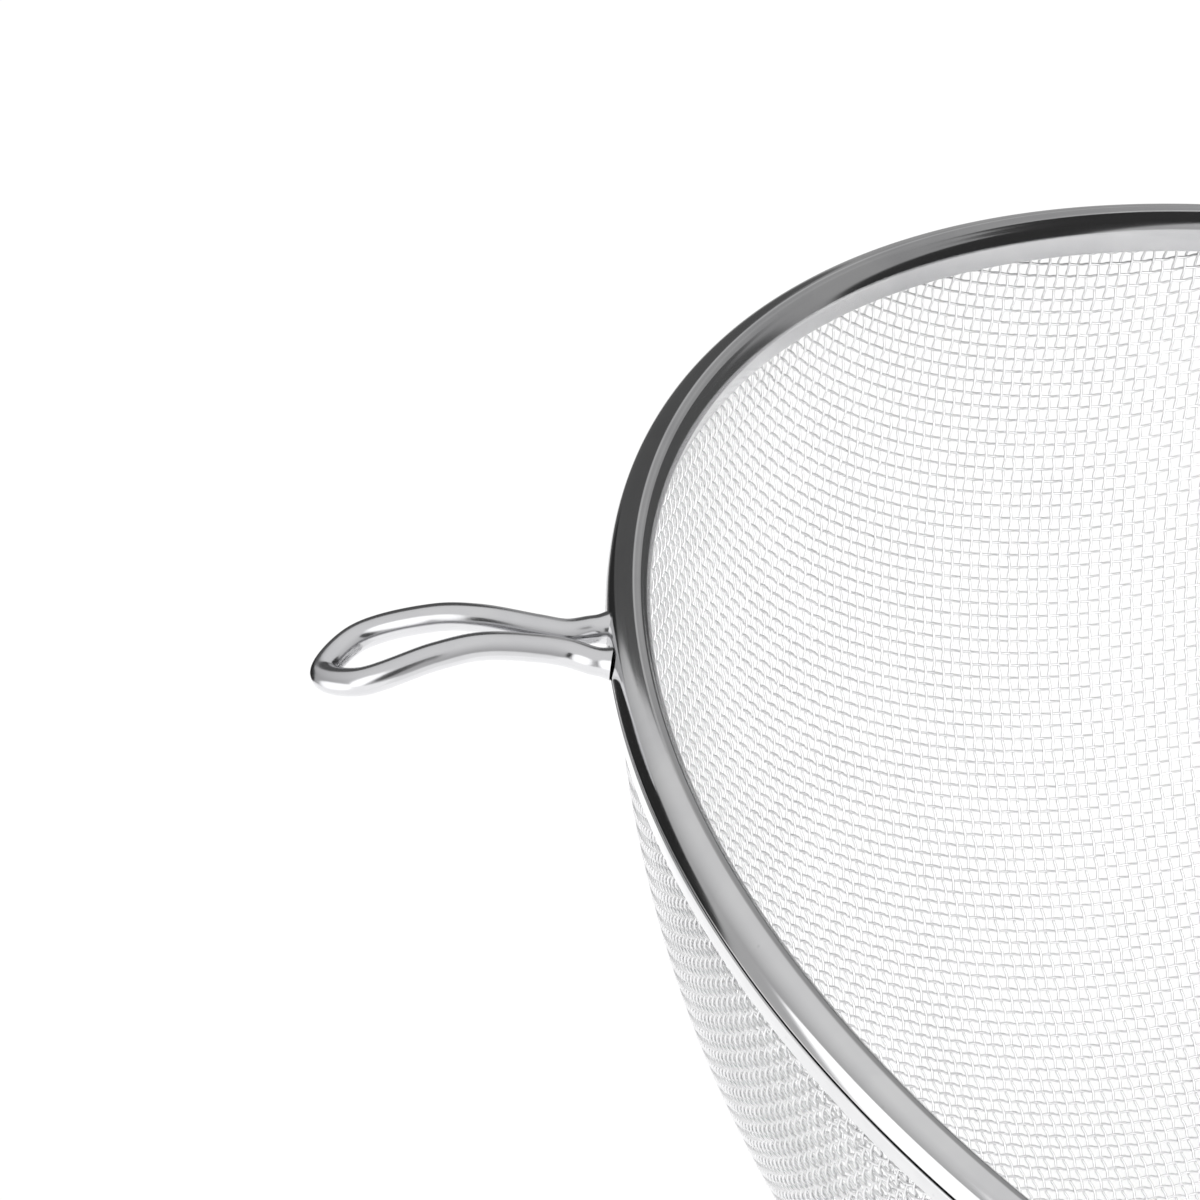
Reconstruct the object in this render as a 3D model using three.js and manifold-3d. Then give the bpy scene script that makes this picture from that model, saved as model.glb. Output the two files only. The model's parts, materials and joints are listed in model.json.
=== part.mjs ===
// A kitchen sieve: a dome of woven wire held in a folded steel rim, with a wire rest hook on one side
// and a handle on the other. Millimetres, +Z up. It lies as on a table, on its dome and its handle's end.
import * as THREE from 'three';
import { mergeVertices } from 'three/addons/utils/BufferGeometryUtils.js';
import Module from 'manifold-3d';

// Clearance between pieces that touch on the real object
const seatGap = 0.3;

// Rim: a cap strip folded over the edge of the mesh, and a band clamped round the outside of the mesh,
// whose foot shows under the cap's lip. Heights count from the datum plane, where the cap's crown begins,
// and reaches from the mesh's outer face.
const rimOuterDiameter = 237;
const stripThickness = 0.6;
const capOverhang = 1.9;
const capRise = 1.9;
const capLipDrop = 2.2;
const capInnerDepth = 2.85;
const capInnerGap = 1;
const bandFootReach = 1.6;
const bandDepth = 4.8;

// Dome of woven wire: its thickness over two crossing wires, its edge in the rim, and its profile's handles
const meshThickness = 0.9;
const domeStart = 4.7;
const domeDepth = 84;
const domeLean = 20.9;
const domeWallReach = 64.4;
const domeFloorReach = 39.4;

// Rest hook: one wire bent into a loop, pinched at its neck, turned down at its tip
const hookWire = 3;
const hookLegSpread = 5.9;
const hookNeckGap = 0.5;
const hookLoopWidth = 7.5;
const hookReach = 28.7;
const hookDrop = 13.2;
const hookLegDrop = 1.9;
const hookLegRun = 9.6;
const hookLegSlope = THREE.MathUtils.degToRad(14.7);
const hookTipRun = 19;
const hookTipSlope = THREE.MathUtils.degToRad(44.3);

// Handle: a wire fork from the rim, a ferrule, a tubular grip, an end plug and a flat hanging eye
const handleRise = THREE.MathUtils.degToRad(6);
const forkWire = 4;
const forkDrop = 2.2;
const forkSpread = 36;
const forkReach = 46;
const forkLegGap = 1.4;
const forkTail = 20;
const forkLead = 8;
const ferruleNose = 6;
const ferruleNoseWall = 1.6;
const ferruleChamfer = 1;
const ferruleCollar = 4;
const plugLength = 10;
const plugWall = 1;
const gripLength = 120;
const gripWall = 1.2;
const gripBellySwell = 3;
const gripBellyAt = 74;
const gripEndSwell = 1;
const endPlugRim = 3;
const endPlugNose = 3.5;
const endPlugNoseWall = 1.5;
const eyeThickness = 3;
const eyeBase = 10;
const eyeCorner = 7.5;
const eyeTangWidth = 9;
const eyeTangDepth = 5;
const eyeHoleWidth = 10;
const eyeHoleLength = 15;
const eyeHoleCorner = 4.5;
const eyeWall = 5;
const cutOverrun = 2;

// Fineness of the round forms
const ringSegments = 72;
const domeSteps = 11;
const crownSteps = 10;
const curveSteps = 3;
const cornerSteps = 5;
const gripSteps = 10;
const gripSegments = 32;
const wireSides = 10;
const hookSteps = 44;
const forkSteps = 56;

// Sizes that follow from the ones above
const meshRadius = rimOuterDiameter / 2 - capOverhang;
const weldRadius = rimOuterDiameter / 2 + seatGap;
const capInset = meshThickness + capInnerGap + stripThickness;
const bandNeckReach = capOverhang - stripThickness - seatGap;
const bandToeReach = seatGap + stripThickness * 0.75;
const forkLegHalf = (forkWire + forkLegGap) / 2;
const forkHole = forkWire / 2 + seatGap;
const plugRadius = forkLegHalf + forkHole + plugWall;
const noseRadius = forkLegHalf + forkHole + ferruleNoseWall;
const gripBoreRadius = plugRadius + seatGap;
const gripFrontRadius = gripBoreRadius + gripWall;
const gripBellyRadius = gripFrontRadius + gripBellySwell / 2;
const gripEndRadius = gripFrontRadius + gripEndSwell / 2;
const endPlugNoseRadius = eyeTangWidth / 2 + seatGap + endPlugNoseWall;
const eyeWidth = eyeHoleWidth + 2 * eyeWall;
const eyeLength = eyeBase + eyeHoleLength + eyeWall;

const wasm = await Module();
wasm.setup();

const polishedSteel = { color: 0xb9babb, roughness: 0.16, metalness: 1 };
const satinSteel = { color: 0xb2b3b4, roughness: 0.3, metalness: 1 };
const wovenSteel = { color: 0xc6c7c8, roughness: 0.34, metalness: 1 };

function piece(name, geometry, finish) {
  const mesh = new THREE.Mesh(geometry, new THREE.MeshStandardMaterial(finish));
  mesh.name = name;
  return mesh;
}

// A closed or axis-to-axis profile of (radius, height) turned about Z
function turned(profile, segments) {
  return new THREE.LatheGeometry(profile, segments).rotateX(Math.PI / 2);
}

// A profile of (radius, distance) turned about X, the handle's own axis
function turnedAlong(profile, segments) {
  return new THREE.LatheGeometry(profile, segments).rotateZ(-Math.PI / 2);
}

// The line moved sideways, to its right, by the distance
function moved(line, distance) {
  return line.map((point, i) => {
    const before = line[Math.max(i - 1, 0)];
    const after = line[Math.min(i + 1, line.length - 1)];
    const way = after.clone().sub(before).normalize();
    return new THREE.Vector2(point.x + way.y * distance, point.y - way.x * distance);
  });
}

// A round wire along a smooth curve through the points
function wire(points, diameter, steps) {
  const section = new THREE.Shape().absarc(0, 0, diameter / 2, 0, 2 * Math.PI);
  return new THREE.ExtrudeGeometry(section, {
    steps,
    curveSegments: wireSides / 2,
    bevelEnabled: false,
    extrudePath: new THREE.CatmullRomCurve3(points, false, 'centripetal'),
  });
}

function solid(geometry) {
  const bare = geometry.clone();
  bare.deleteAttribute('normal');
  bare.deleteAttribute('uv');
  const merged = mergeVertices(bare, 1e-4);
  return new wasm.Manifold(new wasm.Mesh({
    numProp: 3,
    vertProperties: new Float32Array(merged.attributes.position.array),
    triVerts: new Uint32Array(merged.index.array),
  }));
}

function surface(body) {
  const { vertProperties, triVerts } = body.getMesh();
  const geometry = new THREE.BufferGeometry();
  geometry.setAttribute('position', new THREE.BufferAttribute(vertProperties, 3));
  geometry.setIndex(new THREE.BufferAttribute(triVerts, 1));
  geometry.computeVertexNormals();
  return geometry;
}

// The cap's outer line, from the foot of its inner wall over the round crown to its outer lip
function capLine() {
  const middle = (capOverhang - capInset) / 2;
  const half = (capOverhang + capInset) / 2;
  const crown = new THREE.EllipseCurve(middle, 0, half, capRise, Math.PI, 0, true);
  return [
    new THREE.Vector2(-capInset, -capInnerDepth),
    ...crown.getPoints(crownSteps),
    new THREE.Vector2(capOverhang, -capLipDrop),
  ];
}

const capOutside = capLine();
const capInside = moved(capOutside, stripThickness);

// Height of the cap's underside over a point this far outside the mesh's outer face
function underCap(x) {
  const next = capInside.findIndex((p) => p.x > x);
  const [a, b] = [capInside[next - 1], capInside[next]];
  return THREE.MathUtils.mapLinear(x, a.x, b.x, a.y, b.y);
}

function rimCap() {
  const section = [...capInside, ...capOutside.toReversed(), capInside[0]];
  return turned(section.map((p) => new THREE.Vector2(meshRadius + p.x, p.y)), ringSegments);
}

function outerBand() {
  const top = underCap(bandNeckReach) - 2 * seatGap;
  const shoulder = -capLipDrop - seatGap;
  const section = [
    [seatGap, -bandDepth],
    [bandToeReach, -bandDepth],
    [bandFootReach, shoulder],
    [bandNeckReach, shoulder],
    [bandNeckReach, top],
    [seatGap, top],
    [seatGap, -bandDepth],
  ];
  return turned(section.map(([x, y]) => new THREE.Vector2(meshRadius + x, y)), ringSegments);
}

// The dome's outside, from its lowest point to its edge in the rim
const meshEdgeTop = underCap(-meshThickness) - 2 * seatGap;

function domeLine() {
  const profile = new THREE.CubicBezierCurve(
    new THREE.Vector2(0, -domeDepth),
    new THREE.Vector2(domeFloorReach, -domeDepth),
    new THREE.Vector2(meshRadius - domeLean, -domeStart - domeWallReach),
    new THREE.Vector2(meshRadius, -domeStart),
  );
  return [...profile.getPoints(domeSteps), new THREE.Vector2(meshRadius, meshEdgeTop)];
}

const domeOutside = domeLine();

function meshBowl() {
  const domeInside = moved(domeOutside, -meshThickness);
  domeInside[0].set(0, meshThickness - domeDepth);
  domeInside.at(-1).set(meshRadius - meshThickness, meshEdgeTop);
  return turned([...domeOutside, ...domeInside.toReversed()], ringSegments);
}

// The hook's centre line, seen from the side, from the cap's outer wall to its tip
function hookLine() {
  const downhill = (slope) => new THREE.Vector2(Math.cos(slope), -Math.sin(slope));
  const start = new THREE.Vector2(weldRadius, -hookLegDrop);
  const tip = new THREE.Vector2(meshRadius + hookReach, -hookDrop);
  const legWay = downhill(hookLegSlope);
  const tipWay = downhill(hookTipSlope);
  return new THREE.CubicBezierCurve(
    start,
    start.clone().addScaledVector(legWay, hookLegRun),
    tip.clone().addScaledVector(tipWay, -hookTipRun),
    tip,
  );
}

function restHook() {
  const side = hookLine();
  const neck = (hookWire + hookNeckGap) / 2;
  const wide = hookLoopWidth / 2;
  // Share of the way along the side line, and half the width there
  const stations = [
    [0, hookLegSpread / 2],
    [0.04, hookLegSpread * 0.46],
    [0.14, neck],
    [0.28, neck],
    [0.55, neck + (wide - neck) * 0.36],
    [0.72, neck + (wide - neck) * 0.8],
    [0.93, wide],
    [1, 0],
  ];
  const leg = stations.map(([share, half]) => {
    const at = side.getPoint(share);
    return new THREE.Vector3(at.x, half, at.y);
  });
  const otherLeg = leg.slice(0, -1).map((p) => new THREE.Vector3(p.x, -p.y, p.z));
  return wire([...leg, ...otherLeg.toReversed()], hookWire, hookSteps);
}

// The handle's own frame: its origin at the ferrule's collar, +X along the handle
const handle = new THREE.Group();
handle.position.set(
  meshRadius + forkReach * Math.cos(handleRise),
  0,
  -forkDrop + forkReach * Math.sin(handleRise),
);
handle.rotation.y = -handleRise;
handle.updateMatrix();

function handleFork() {
  const foot = forkSpread / 2;
  const footReach = Math.sqrt(weldRadius ** 2 - (foot - forkWire / 2) ** 2);
  const half = forkLegHalf;
  const along = (x, y) => new THREE.Vector3(x, y, 0).applyMatrix4(handle.matrix);
  const lead = along(-ferruleNose - forkLead, half);
  const footAt = new THREE.Vector3(footReach, foot, -forkDrop);
  const footOut = new THREE.Vector3(footReach + forkWire, foot, -forkDrop);
  const leg = [
    footAt,
    footOut,
    footOut.clone().lerp(lead, 0.52),
    lead,
    along(-ferruleNose, half),
    along(plugLength, half),
    along(forkTail, half),
    along(forkTail + half * Math.SQRT1_2, half * Math.SQRT1_2),
    along(forkTail + half, 0),
  ];
  const otherLeg = leg.slice(0, -1).map((p) => new THREE.Vector3(p.x, -p.y, p.z));
  return wire([...leg, ...otherLeg.toReversed()], forkWire, forkSteps);
}

function handleFerrule() {
  const body = turnedAlong([
    new THREE.Vector2(0, -ferruleNose),
    new THREE.Vector2(noseRadius - ferruleChamfer, -ferruleNose),
    new THREE.Vector2(noseRadius, -ferruleNose + ferruleChamfer),
    new THREE.Vector2(gripFrontRadius, 0),
    new THREE.Vector2(gripFrontRadius, ferruleCollar),
    new THREE.Vector2(plugRadius, ferruleCollar),
    new THREE.Vector2(plugRadius, ferruleCollar + plugLength),
    new THREE.Vector2(0, ferruleCollar + plugLength),
  ], gripSegments);
  const length = ferruleNose + ferruleCollar + plugLength + 2 * cutOverrun;
  const hole = (side) => new THREE.CylinderGeometry(forkHole, forkHole, length, 2 * wireSides)
    .rotateZ(-Math.PI / 2)
    .translate(length / 2 - ferruleNose - cutOverrun, side * forkLegHalf, 0);
  return surface(solid(body).subtract(solid(hole(1))).subtract(solid(hole(-1))));
}

const gripStart = ferruleCollar + seatGap;
const gripEnd = gripStart + gripLength;

function handleGrip() {
  const outside = new THREE.SplineCurve([
    new THREE.Vector2(gripFrontRadius, gripStart),
    new THREE.Vector2(gripBellyRadius, gripStart + gripBellyAt),
    new THREE.Vector2(gripEndRadius, gripEnd),
  ]).getPoints(gripSteps);
  const section = [
    ...outside,
    new THREE.Vector2(gripBoreRadius, gripEnd),
    new THREE.Vector2(gripBoreRadius, gripStart),
    outside[0],
  ];
  return turnedAlong(section, gripSegments);
}

const endPlugFace = gripEnd + seatGap;
const endPlugTip = endPlugFace + endPlugRim + endPlugNose;
const tangStart = endPlugTip - eyeTangDepth;

function handleEndPlug() {
  const nose = new THREE.QuadraticBezierCurve(
    new THREE.Vector2(gripEndRadius, endPlugFace + endPlugRim),
    new THREE.Vector2(gripEndRadius, endPlugTip),
    new THREE.Vector2(endPlugNoseRadius, endPlugTip),
  ).getPoints(curveSteps);
  const body = turnedAlong([
    new THREE.Vector2(0, endPlugFace - plugLength),
    new THREE.Vector2(plugRadius, endPlugFace - plugLength),
    new THREE.Vector2(plugRadius, endPlugFace),
    new THREE.Vector2(gripEndRadius, endPlugFace),
    ...nose,
    new THREE.Vector2(0, endPlugTip),
  ], gripSegments);
  const slot = new THREE.BoxGeometry(
    2 * (eyeTangDepth + seatGap),
    eyeTangWidth + 2 * seatGap,
    eyeThickness + 2 * seatGap,
  ).translate(endPlugTip, 0, 0);
  return surface(solid(body).subtract(solid(slot)));
}

// A rectangle with round corners, from x0 to x1 and as wide as given
function roundedOutline(outline, x0, x1, width, corner) {
  const half = width / 2;
  outline.moveTo(x0 + corner, -half);
  outline.lineTo(x1 - corner, -half);
  outline.absarc(x1 - corner, corner - half, corner, -Math.PI / 2, 0);
  outline.lineTo(x1, half - corner);
  outline.absarc(x1 - corner, half - corner, corner, 0, Math.PI / 2);
  outline.lineTo(x0 + corner, half);
  outline.absarc(x0 + corner, half - corner, corner, Math.PI / 2, Math.PI);
  outline.lineTo(x0, corner - half);
  outline.absarc(x0 + corner, corner - half, corner, Math.PI, 1.5 * Math.PI);
  return outline;
}

const eyeStart = endPlugTip + seatGap;
const eyeEnd = eyeStart + eyeLength;

function hangingEye() {
  const plate = (outline, depth) => solid(new THREE.ExtrudeGeometry(outline, {
    depth,
    curveSegments: cornerSteps,
    bevelEnabled: false,
  }).translate(0, 0, -depth / 2));
  const eye = plate(
    roundedOutline(new THREE.Shape(), eyeStart, eyeEnd, eyeWidth, eyeCorner),
    eyeThickness,
  );
  const tangLength = eyeStart + eyeCorner - tangStart;
  const tang = solid(new THREE.BoxGeometry(tangLength, eyeTangWidth, eyeThickness)
    .translate(tangStart + tangLength / 2, 0, 0));
  const holeStart = eyeStart + eyeBase;
  const hole = plate(
    roundedOutline(new THREE.Shape(), holeStart, holeStart + eyeHoleLength, eyeHoleWidth, eyeHoleCorner),
    eyeThickness + 2 * cutOverrun,
  );
  return surface(eye.add(tang).subtract(hole));
}

handle.add(
  piece('handle_ferrule', handleFerrule(), polishedSteel),
  piece('handle_grip', handleGrip(), satinSteel),
  piece('handle_end_plug', handleEndPlug(), polishedSteel),
  piece('hanging_eye', hangingEye(), polishedSteel),
);

const hookSide = new THREE.Group();
hookSide.rotation.z = Math.PI;
hookSide.add(piece('rest_hook', restHook(), polishedSteel));

// Everything in the rim's own frame: the rim's axis along Z, the handle towards +X
const sieve = new THREE.Group();
sieve.add(
  piece('mesh_bowl', meshBowl(), wovenSteel),
  piece('rim_cap', rimCap(), polishedSteel),
  piece('outer_band', outerBand(), polishedSteel),
  piece('handle_fork', handleFork(), polishedSteel),
  hookSide,
  handle,
);

// The tilt at which the dome and the lower edge of the eye's end touch the table together
function restTilt() {
  const heel = new THREE.Vector3(eyeEnd, 0, -eyeThickness / 2).applyMatrix4(handle.matrix);
  let low = 0;
  let high = Math.PI / 3;
  for (let round = 0; round < 50; round += 1) {
    const tilt = (low + high) / 2;
    const drop = (x, z) => z * Math.cos(tilt) - x * Math.sin(tilt);
    const domeLowest = Math.min(...domeOutside.map((p) => drop(p.x, p.y)));
    if (drop(heel.x, heel.z) > domeLowest) low = tilt;
    else high = tilt;
  }
  return low;
}

sieve.rotation.y = restTilt();

const part = new THREE.Group();
part.add(sieve);
part.updateMatrixWorld(true);
const box = new THREE.Box3().setFromObject(part, true);
sieve.position.set(-(box.min.x + box.max.x) / 2, -(box.min.y + box.max.y) / 2, -box.min.z);
part.updateMatrixWorld(true);

export default part;
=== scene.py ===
# A kitchen sieve set up for its picture: a dome woven wire by wire, a polished rim, a bent wire rest hook
# and a handle with a hanging eye. Lengths are millimetres in the rim's own frame, as in the part's source:
# X towards the handle, Z up, the origin on the rim's axis where the crown of the rim starts. Each piece is
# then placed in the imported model's frame, in metres.
import json
import math

import bpy
import numpy as np
from mathutils import Matrix, Quaternion, Vector


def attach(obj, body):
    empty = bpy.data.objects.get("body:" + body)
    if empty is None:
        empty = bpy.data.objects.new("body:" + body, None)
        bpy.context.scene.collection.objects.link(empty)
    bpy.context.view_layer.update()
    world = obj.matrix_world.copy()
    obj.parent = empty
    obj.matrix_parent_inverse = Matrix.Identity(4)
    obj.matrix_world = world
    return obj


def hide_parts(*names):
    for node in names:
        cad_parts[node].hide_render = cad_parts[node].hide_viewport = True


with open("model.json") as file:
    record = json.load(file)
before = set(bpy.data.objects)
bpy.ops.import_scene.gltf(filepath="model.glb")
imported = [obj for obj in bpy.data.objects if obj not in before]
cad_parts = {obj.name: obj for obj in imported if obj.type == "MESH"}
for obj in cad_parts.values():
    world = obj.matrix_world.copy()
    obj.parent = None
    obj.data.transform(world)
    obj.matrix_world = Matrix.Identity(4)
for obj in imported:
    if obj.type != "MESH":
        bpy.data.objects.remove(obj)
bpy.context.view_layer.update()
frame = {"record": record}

# Rim: a strip folded over the edge of the woven bowl, and a band round the outside under it
mesh_radius = 116.6
strip_thickness = 0.6
cap_overhang = 1.899
wall_belly = -0.5
wall_foot_inset = 0.14
cap_inset = 2.5
cap_lip_drop = 2.2
cap_inner_depth = 2.85
cap_rise = 1.85
crest_at = -0.15
flank_start = 0.12
flank_end = (-1.38, 1.4)
flank_lean_low = math.radians(20)
flank_lean_high = math.radians(62)
flank_pull = 0.55
foot_ease = 0.22
crown_pull = 0.5
crest_pull = 0.82
belly_pull_up = 1.45
belly_pull_down = 0.45
wall_foot_pull = (0.07, 0.4)
rolled_line_at = -0.43
rolled_line_depth = 0.03
rolled_line_width = 1.1
seat_gap = 0.3
band_neck_reach = 1.0
band_foot_reach = 1.6
band_toe_reach = 0.75
band_depth = 4.8
band_top = 0.2
ring_steps = 480

# Woven bowl
dome_start = 4.7
dome_depth = 84.0
dome_lean = math.radians(20.9)
dome_wall_reach = 64.4
dome_floor_reach = 39.4
wire_radius = 0.15
row_lift = 0.15
column_lift = 0.1
weave_half_stack = 0.45
weave_top = -0.9
cloth_overrun = 9
cloth_overrun_steps = 200
row_angle = math.radians(29.0)
column_angle = math.radians(110.0)
row_step = 1.49
column_step = 1.385
weave_sides = 6
weave_shares = 6
net_rounds = 12
net_nudge = 1e-4
net_longest_move = 1
net_widest_turn = 0.05
net_tolerance = 1e-2
bake_start = 0.002
bake_reach = 0.99
bake_gap = 0.1
bake_lid_at = 0.001
bake_lid_end = 0.0015

# Rest hook
hook_wire = 3.0
hook_leg_spread = 5.9
hook_neck_gap = 0.5
hook_loop_width = 7.5
hook_reach = 28.66
hook_drop = 13.26
hook_leg_drop = 1.96
hook_leg_run = 9.6
hook_leg_slope = math.radians(14.7)
hook_tip_run = 19.0
hook_tip_slope = math.radians(44.3)
hook_path_step = 0.35
hook_end_overrun = 0.7
hook_weld = 0.3
hook_sides = 40

# Handle
handle_rise = math.radians(6.0)
fork_wire = 4.0
fork_drop = 2.2
fork_spread = 36.0
fork_reach = 46.0
fork_leg_half = 2.7
fork_tail = 20.0
fork_lead = 8.0
fork_bend_at = 0.52
fork_path_step = 0.6
fork_end_overrun = 1.1
fork_weld = 0.4
fork_sides = 36
braze = 0.35
braze_run = 0.5
braze_depth = 0.4
ferrule_nose = 6.0
ferrule_chamfer = 1.0
ferrule_nose_radius = 6.6
ferrule_collar = 4.0
plug_length = 10.0
plug_radius = 6.0
grip_length = 120.0
grip_bore_radius = 6.3
grip_front_radius = 7.5
grip_belly_radius = 9.0
grip_belly_at = 74.0
grip_end_radius = 8.0
grip_step = 1.5
grip_bore_seen = 3
handle_steps = 96
end_lid_radius = 0.5
end_plug_rim = 3.0
end_plug_nose = 3.5
end_plug_nose_radius = 6.3
eye_thickness = 3.0
eye_width = 20.0
eye_length = 30.0
eye_base = 10.0
eye_corner = 7.5
eye_tang_width = 9.0
eye_tang_depth = 5.0
eye_hole_width = 10.0
eye_hole_length = 15.0
eye_hole_corner = 4.5
eye_edge = 0.45

weld_radius = mesh_radius + cap_overhang + seat_gap
grip_start = ferrule_collar + seat_gap
grip_end = grip_start + grip_length
plug_face = grip_end + seat_gap
plug_tip = plug_face + end_plug_rim + end_plug_nose
eye_start = plug_tip + seat_gap
eye_end = eye_start + eye_length

# Frames: the handle's in the rim's, and the rim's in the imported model's, found from the hanging eye's mount
handle_to_rim = (
    Matrix.Translation((
        mesh_radius + fork_reach * math.cos(handle_rise),
        0,
        -fork_drop + fork_reach * math.sin(handle_rise),
    ))
    @ Matrix.Rotation(-handle_rise, 4, "Y")
)
eye_face = next(m for m in frame["record"]["mounts"] if m["name"] == "eye_face")
rim_tilt = math.atan2(eye_face["axis"][0], eye_face["axis"][2]) + handle_rise
rim_turn = Matrix.Rotation(rim_tilt, 4, "Y")
eye_face_point = Vector((eye_start + eye_base / 2, 0, eye_thickness / 2))
rim_origin = Vector(eye_face["pos_m"]) * 1000 - rim_turn @ handle_to_rim @ eye_face_point
rim_to_model = Matrix.Scale(0.001, 4) @ Matrix.Translation(rim_origin) @ rim_turn
handle_to_model = rim_to_model @ handle_to_rim


# Shapes

def bezier(corners, steps):
    """Points along a cubic curve."""
    t = np.linspace(0, 1, steps + 1)[:, None]
    a, b, c, d = (np.asarray(p, float) for p in corners)
    return (1 - t) ** 3 * a + 3 * t * (1 - t) ** 2 * b + 3 * t ** 2 * (1 - t) * c + t ** 3 * d


def eased(corners, ease, steps=5):
    """A line whose inner corners are rounded, each from a given distance before it to the same after it."""
    corners = [np.asarray(p, float) for p in corners]
    line = [corners[0]]
    t = np.linspace(0, 1, steps + 1)[:, None]
    for before, at, after, reach in zip(corners, corners[1:], corners[2:], ease):
        start = at + (before - at) * min(0.5, reach / np.linalg.norm(before - at))
        end = at + (after - at) * min(0.5, reach / np.linalg.norm(after - at))
        line.extend((1 - t) ** 2 * start + 2 * t * (1 - t) * at + t ** 2 * end)
    line.append(corners[-1])
    return np.array(line)


def through(points, step):
    """A smooth line through points, evenly spaced."""
    points = np.asarray(points, float)
    points = np.vstack([2 * points[0] - points[1], points, 2 * points[-1] - points[-2]])
    t = np.linspace(0, 1, 40, endpoint=False)[:, None]
    line = []
    for p0, p1, p2, p3 in zip(points, points[1:], points[2:], points[3:]):
        d0, d1, d2 = (math.sqrt(np.linalg.norm(b - a)) for a, b in ((p0, p1), (p1, p2), (p2, p3)))
        leave = d1 * ((p1 - p0) / d0 - (p2 - p0) / (d0 + d1) + (p2 - p1) / d1)
        arrive = d1 * ((p2 - p1) / d1 - (p3 - p1) / (d1 + d2) + (p3 - p2) / d2)
        c2 = -3 * p1 + 3 * p2 - 2 * leave - arrive
        c3 = 2 * p1 - 2 * p2 + leave + arrive
        line.append(p1 + leave * t + c2 * t ** 2 + c3 * t ** 3)
    line = np.vstack(line + [points[-2:-1]])
    return respaced(line, step)


def lengths(line):
    """Distance along a line to each of its points."""
    return np.concatenate([[0], np.cumsum(np.linalg.norm(np.diff(line, axis=0), axis=1))])


def respaced(line, step):
    """The same line with its points evenly spaced."""
    at = lengths(line)
    want = np.linspace(0, at[-1], max(2, round(at[-1] / step) + 1))
    return np.stack([np.interp(want, at, line[:, k]) for k in range(line.shape[1])], axis=1)


def skin(rows, columns, along, across, rows_meet, columns_meet):
    """Four-cornered faces over a grid of points, with each corner's place along and across the surface."""
    i, j = np.meshgrid(
        np.arange(rows if rows_meet else rows - 1),
        np.arange(columns if columns_meet else columns - 1),
        indexing="ij",
    )
    i, j = i.ravel(), j.ravel()
    next_i, next_j = (i + 1) % rows, (j + 1) % columns
    faces = np.stack([
        i * columns + j,
        i * columns + next_j,
        next_i * columns + next_j,
        next_i * columns + j,
    ], 1)
    lay = np.stack([
        np.stack([along[i], across[j]], 1),
        np.stack([along[i], across[j + 1]], 1),
        np.stack([along[i + 1], across[j + 1]], 1),
        np.stack([along[i + 1], across[j]], 1),
    ], 1)
    return faces, lay


def lid(first, count):
    """One face over the end of a tube."""
    faces = np.arange(first, first + count)[None, :]
    return faces, np.zeros((1, count, 2))


def turned(profile, steps, axis, closed):
    """A profile of (along the axis, radius) turned about it, closed on itself or with a lid at each end."""
    angle = np.arange(steps) / steps * 2 * math.pi
    along, radius = profile[:, 0][None, :], profile[:, 1][None, :]
    first, second = radius * np.cos(angle)[:, None], radius * np.sin(angle)[:, None]
    third = np.broadcast_to(along, first.shape)
    points = np.stack([first, second, third] if axis == "Z" else [third, first, second], -1)
    count = len(profile)
    loop = np.vstack([profile, profile[:1]]) if closed else profile
    middle_radius = profile[:, 1].mean()
    faces = [skin(
        steps, count,
        np.linspace(0, 2 * math.pi * middle_radius, steps + 1),
        lengths(loop) if closed else np.append(lengths(loop), 0),
        True, closed,
    )]
    if not closed:
        ring = np.arange(steps) * count
        for end in (ring[::-1], ring + count - 1):
            faces.append((end[None, :], np.zeros((1, steps, 2))))
    return points.reshape(-1, 3), faces


def swept(line, radius, sides):
    """A round wire along a line, with a radius for each of its points."""
    tangent = np.gradient(line, axis=0)
    tangent /= np.linalg.norm(tangent, axis=1)[:, None]
    side = np.zeros_like(line)
    start = np.cross(tangent[0], (0.0, 0.0, 1.0))
    side[0] = start / np.linalg.norm(start)
    for k in range(1, len(line)):
        side[k] = side[k - 1] - tangent[k] * (side[k - 1] @ tangent[k])
        side[k] /= np.linalg.norm(side[k])
    other = np.cross(tangent, side)
    angle = np.arange(sides) / sides * 2 * math.pi
    ring = side[:, None] * np.cos(angle)[None, :, None] + other[:, None] * np.sin(angle)[None, :, None]
    points = line[:, None] + ring * np.asarray(radius)[:, None, None]
    faces = [
        skin(
            len(line), sides,
            np.append(lengths(line), 0),
            np.linspace(0, 2 * math.pi * float(np.median(radius)), sides + 1),
            False, True,
        ),
        lid(0, sides),
        lid((len(line) - 1) * sides, sides),
    ]
    faces[1] = (faces[1][0][:, ::-1], faces[1][1])
    return points.reshape(-1, 3), faces


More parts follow.
